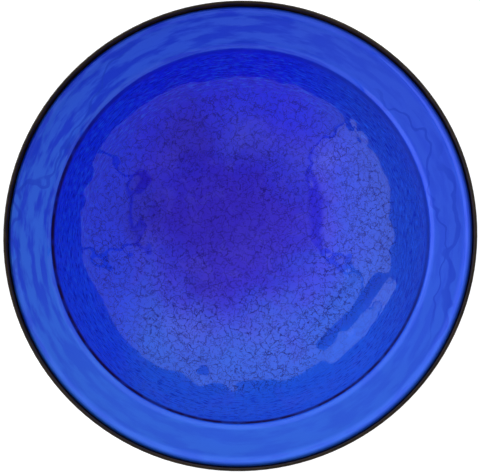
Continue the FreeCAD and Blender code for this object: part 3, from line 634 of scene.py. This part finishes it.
def close_tree(tree, given, out, geometry):
    """Ends a geometry tree with plain geometry in one material."""
    real = node(tree, "GeometryNodeRealizeInstances", {0: geometry})
    inputs = {"Geometry": real.outputs[0], "Material": given.outputs["Material"]}
    painted = node(tree, "GeometryNodeSetMaterial", inputs)
    tree.links.new(painted.outputs[0], out.inputs[0])


def run_tree(piece, tree, material, **sizes):
    """Puts a tree on a piece, sets its inputs by identifier, and turns the result into a mesh."""
    modifier = piece.modifiers.new(tree.name, "NODES")
    modifier.node_group = tree
    items = tree.interface.items_tree
    labels = {item.name: item.identifier for item in items if item.in_out == "INPUT"}
    for label, value in sizes.items():
        modifier[labels[label]] = value
    modifier[labels["Material"]] = material
    baked(piece)


def away_from(tree, place, start, end):
    """Level distance from a short straight line, or from a point where both ends are the same."""
    flat = vector_maths(tree, "MULTIPLY", place, (1.0, 1.0, 0.0))
    put = vector_maths(tree, "SUBTRACT", flat, tuple(start))
    run = end - start
    if run.length == 0.0:
        return vector_maths(tree, "LENGTH", put)
    along = vector_maths(tree, "DOT_PRODUCT", put, tuple(run))
    share = maths(tree, "DIVIDE", along, run.length_squared, clamp=True)
    inputs = {0: tuple(run), "Scale": share}
    nearest = node(tree, "ShaderNodeVectorMath", inputs, operation="SCALE").outputs[0]
    return vector_maths(tree, "LENGTH", vector_maths(tree, "SUBTRACT", put, nearest))


def ripple_tree():
    """The unevenness of hand-worked glass: a slow swell, strongest on the wall, and a few dents."""
    inputs = [
        ("Swell", "NodeSocketFloat", 0.0004),
        ("Length", "NodeSocketFloat", 0.05),
        ("Seed", "NodeSocketFloat", 0.0),
        ("Dents", "NodeSocketFloat", 1.0),
    ]
    tree, given, out = geometry_tree("hand-worked unevenness", inputs)
    place = node(tree, "GeometryNodeInputPosition").outputs[0]
    scale = maths(tree, "DIVIDE", 1.0, given.outputs["Length"])
    inputs = {"Vector": place, "W": given.outputs["Seed"], "Scale": scale, "Detail": 2.6, "Roughness": 0.5}
    wave = node(tree, "ShaderNodeTexNoise", inputs, noise_dimensions="4D").outputs[0]
    swing = maths(tree, "MULTIPLY", maths(tree, "SUBTRACT", wave, 0.5), given.outputs["Swell"])
    radius = radius_of(tree, place)
    on_wall = ease(tree, radius, *WALL_SWELL, 0.45, 1.0)
    on_flange = ease(tree, radius, *FLANGE_CALM, 1.0, 0.22)
    rise = maths(tree, "MULTIPLY", maths(tree, "MULTIPLY", swing, on_wall), on_flange)
    for start, end, reach, height in DENTS:
        away = away_from(tree, place, Vector((*start, 0.0)) / 1000, Vector((*end, 0.0)) / 1000)
        dent = ease(tree, away, 0.0, reach / 1000, height / 1000, 0.0)
        pushed = maths(tree, "MULTIPLY", dent, on_flange)
        rise = maths(tree, "ADD", rise, maths(tree, "MULTIPLY", pushed, given.outputs["Dents"]))
    offset = node(tree, "ShaderNodeCombineXYZ", {2: rise}).outputs[0]
    moved = node(tree, "GeometryNodeSetPosition", {"Geometry": given.outputs[0], "Offset": offset})
    close_tree(tree, given, out, moved.outputs[0])
    return tree


def bowl_pieces(glass, paint):
    """The glass and its painted back, both with the same slow unevenness and the same dents."""
    water_side, under_side = skin(0.0, 175), skin(GLASS_WALL, 60)
    paint_side = skin(GLASS_WALL + COAT_WALL, 90)
    end = (water_side[-1] + under_side[-1]) / 2
    half = GLASS_WALL / 2
    turns = np.linspace(90, -90, EDGE_STEPS)[1:-1]
    edge = [end + slope_way(LIP_SLOPE + 90 + t) * half for t in turns]
    bowl = turned_shell("crackled_bowl", water_side, under_side, edge)
    back = turned_shell("painted_back", under_side, paint_side, [])
    ripple = ripple_tree()
    for piece, finish in ((bowl, glass), (back, paint)):
        run_tree(piece, ripple, finish, Swell=0.0046, Length=0.052, Seed=3.0, Dents=1.0)
    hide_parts("glass_bowl")
    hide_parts("backing_coat")
    for piece in (bowl, back):
        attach(piece, "bowl")


# ---- metal, rubber and silicone ------------------------------------------------------------


def ring_tree():
    """Sets one part at even steps round +Z, starting where it already stands."""
    tree, given, out = geometry_tree("set round the hoop", [("Count", "NodeSocketInt", 3)])
    spots = node(tree, "GeometryNodePoints", {"Count": given.outputs["Count"]}).outputs[0]
    step = maths(tree, "DIVIDE", math.tau, given.outputs["Count"])
    index = node(tree, "GeometryNodeInputIndex").outputs[0]
    angle = maths(tree, "MULTIPLY", index, step)
    turned = node(tree, "ShaderNodeCombineXYZ", {2: angle}).outputs[0]
    inputs = {"Points": spots, "Instance": given.outputs[0], "Rotation": turned}
    copies = node(tree, "GeometryNodeInstanceOnPoints", inputs)
    close_tree(tree, given, out, copies.outputs[0])
    return tree


def softened_copy(name, cad_name, bevel, sharp):
    """A copy of a CAD node, welded, with its hard edges broken by a small bevel."""
    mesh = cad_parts[cad_name].data.copy()
    made = bmesh.new()
    made.from_mesh(mesh)
    bmesh.ops.remove_doubles(made, verts=made.verts, dist=0.00001)
    bmesh.ops.dissolve_limit(
        made,
        angle_limit=math.radians(0.5),
        verts=made.verts,
        edges=made.edges,
        use_dissolve_boundaries=False,
    )
    made.to_mesh(mesh)
    made.free()
    mesh.name = name
    mesh.materials.clear()
    piece = finish_mesh(name, mesh, sharp)
    edges = piece.modifiers.new("broken edges", "BEVEL")
    edges.width = bevel
    edges.segments = 2
    edges.limit_method = "ANGLE"
    edges.angle_limit = math.radians(sharp)
    edges.use_clamp_overlap = True
    edges.harden_normals = True
    baked(piece)
    return piece


def set_round(name, cad_names, material, bevel, sharp):
    """One finished part repeated round the hoop, standing for all of its CAD nodes."""
    piece = softened_copy(name, cad_names[0], bevel, sharp)
    run_tree(piece, RING, material, Count=len(cad_names))
    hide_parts(*cad_names)
    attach(piece, "stand")


def stand_pieces(bronze, steel, silicone, rubber):
    for name in ("rim_hoop", "tie_hoop"):
        piece = softened_copy(f"bronze_{name}", name, 0.0004, 30)
        piece.data.materials.append(bronze)
        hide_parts(name)
        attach(piece, "stand")
    legs = range(1, LEGS + 1)
    set_round("scroll_legs", [f"leg_{n}" for n in legs], bronze, 0.0003, 30)
    for part in ("leg_screw", "leg_nut", "tie_screw", "tie_nut"):
        nodes = [f"{part}_{n}" for n in legs]
        set_round(f"{part}s", nodes, steel, 0.00015, 30)
    set_round("rubber_feet", [f"foot_{n}" for n in legs], rubber, 0.0004, 35)
    bumpers = [f"bumper_{n}" for n in range(1, BUMPERS + 1)]
    set_round("silicone_bumpers", bumpers, silicone, 0.0006, 40)


# ---- studio --------------------------------------------------------------------------------


def pale_floor():
    mesh = bpy.data.meshes.new("pale_floor")
    reach = 4.0
    corners = [(-reach, -reach, 0), (reach, -reach, 0), (reach, reach, 0), (-reach, reach, 0)]
    mesh.from_pydata(corners, [], [(0, 1, 2, 3)])
    floor = bpy.data.objects.new("pale_floor", mesh)
    bpy.context.scene.collection.objects.link(floor)
    material, tree, shader, where = new_material("pale paper floor")
    soft_blotch = noise(tree, where, 3.0, 3.0)
    colour = blend(tree, soft_blotch, (0.46, 0.46, 0.46), (0.52, 0.52, 0.52))
    tree.links.new(colour, shader.inputs["Base Color"])
    shader.inputs["Roughness"].default_value = 0.9
    shader.inputs["Emission Color"].default_value = (1.0, 1.0, 1.0, 1.0)
    shader.inputs["Emission Strength"].default_value = 0.85
    mesh.materials.append(material)


# Each lit panel: two side planes and a top plane (as directions), how the top fades in, brightness.
PANELS = [
    ([(-0.647, 0.763, 0.0), (-0.561, -0.758, -0.332)], (-0.832, -0.075, -0.549), (0.05, 0.13), 1.50),
    ([(0.459, 0.889, 0.0), (0.20, -0.975, 0.08)], (0.75, 0.0, -0.66), (0.02, 0.10), 0.72),
]
PANEL_EDGE = (0.0, 0.006)  # how a panel's sides fade in
GAP_SIDES = (-0.032, -0.024)  # how the dark gap round a panel fades in at its sides
GAP_TOP = (-0.03, 0.01)  # and at its top
GAP_LIGHT = 0.08
BACKDROP_LIGHT = 0.96  # the tent as it is seen directly


def tent_light():
    """A soft white tent: dim at the top, brighter to the back and left, with the lit panels."""
    world = bpy.data.worlds.new("white tent")
    bpy.context.scene.world = world
    world.use_nodes = True
    tree = world.node_tree
    tree.nodes.clear()
    way = tree.nodes.new("ShaderNodeTexCoord").outputs["Generated"]
    up = node(tree, "ShaderNodeSeparateXYZ", {0: way}).outputs["Z"]
    level = vector_maths(tree, "MULTIPLY", way, (1.0, 1.0, 0.0))
    level = vector_maths(tree, "NORMALIZE", level)
    from_back = vector_maths(tree, "DOT_PRODUCT", level, (-0.60, 0.80, 0.0))
    light = ease(tree, from_back, -0.9, 0.8, 0.66, 1.14)
    opening = ease(tree, up, 0.74, 0.90, 1.0, 0.50)
    light = maths(tree, "MULTIPLY", light, opening)
    for sides, top, fall, bright in PANELS:
        first, second = (vector_maths(tree, "DOT_PRODUCT", way, side) for side in sides)
        inside = maths(tree, "MINIMUM", first, second)
        under = vector_maths(tree, "DOT_PRODUCT", way, top)
        gap = maths(tree, "MULTIPLY", ease(tree, inside, *GAP_SIDES), ease(tree, under, *GAP_TOP))
        light = between(tree, gap, light, GAP_LIGHT)
        panel = maths(tree, "MULTIPLY", ease(tree, inside, *PANEL_EDGE), ease(tree, under, *fall))
        light = between(tree, panel, light, bright)
    horizon = ease(tree, up, -0.02, 0.12, 0.65, 1.0)
    light = maths(tree, "MULTIPLY", light, horizon)
    seen = node(tree, "ShaderNodeLightPath").outputs["Is Camera Ray"]
    strength = between(tree, seen, light, BACKDROP_LIGHT)
    tint = blend(tree, seen, (0.93, 0.98, 1.07), (1.0, 1.0, 1.0))
    back = node(tree, "ShaderNodeBackground", {"Color": tint, "Strength": strength})
    out = tree.nodes.new("ShaderNodeOutputWorld")
    tree.links.new(back.outputs[0], out.inputs["Surface"])


TILT = math.radians(8.66)
LEAN = Vector((0.43, -0.90, 0.0)).normalized()
CAMERA_WAY = Vector((LEAN.x * math.sin(TILT), LEAN.y * math.sin(TILT), math.cos(TILT)))
CAMERA_FAR = 0.9987
CAMERA_AIM = Vector((0.0018, -0.0050, -0.0017))  # from the middle of the hoop's top edge


def camera():
    """Nearly straight down, leaning a little to the front right."""
    data = bpy.data.cameras.new("camera")
    data.lens = 100.0
    data.sensor_width = 36.0
    data.clip_start, data.clip_end = 0.05, 50.0
    eye = bpy.data.objects.new("camera", data)
    bpy.context.scene.collection.objects.link(eye)
    bpy.context.scene.camera = eye
    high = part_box("rim_hoop")[1][2]
    aim = Vector((0.0, 0.0, high)) + CAMERA_AIM
    right = Vector((0.0, 1.0, 0.0)).cross(CAMERA_WAY).normalized()
    up = CAMERA_WAY.cross(right)
    eye.location = aim + CAMERA_WAY * CAMERA_FAR
    eye.rotation_mode = "QUATERNION"
    eye.rotation_quaternion = Matrix((right, up, CAMERA_WAY)).transposed().to_quaternion()


RING = ring_tree()
bowl_pieces(cobalt_glass(), painted_back())
bronze = bronze_coat("dark bronze powder coat", 0.35)
stand_pieces(bronze, blackened_steel(), clear_silicone(), foot_rubber())
pale_floor()
tent_light()
camera()
bpy.context.scene.view_settings.view_transform = "Standard"
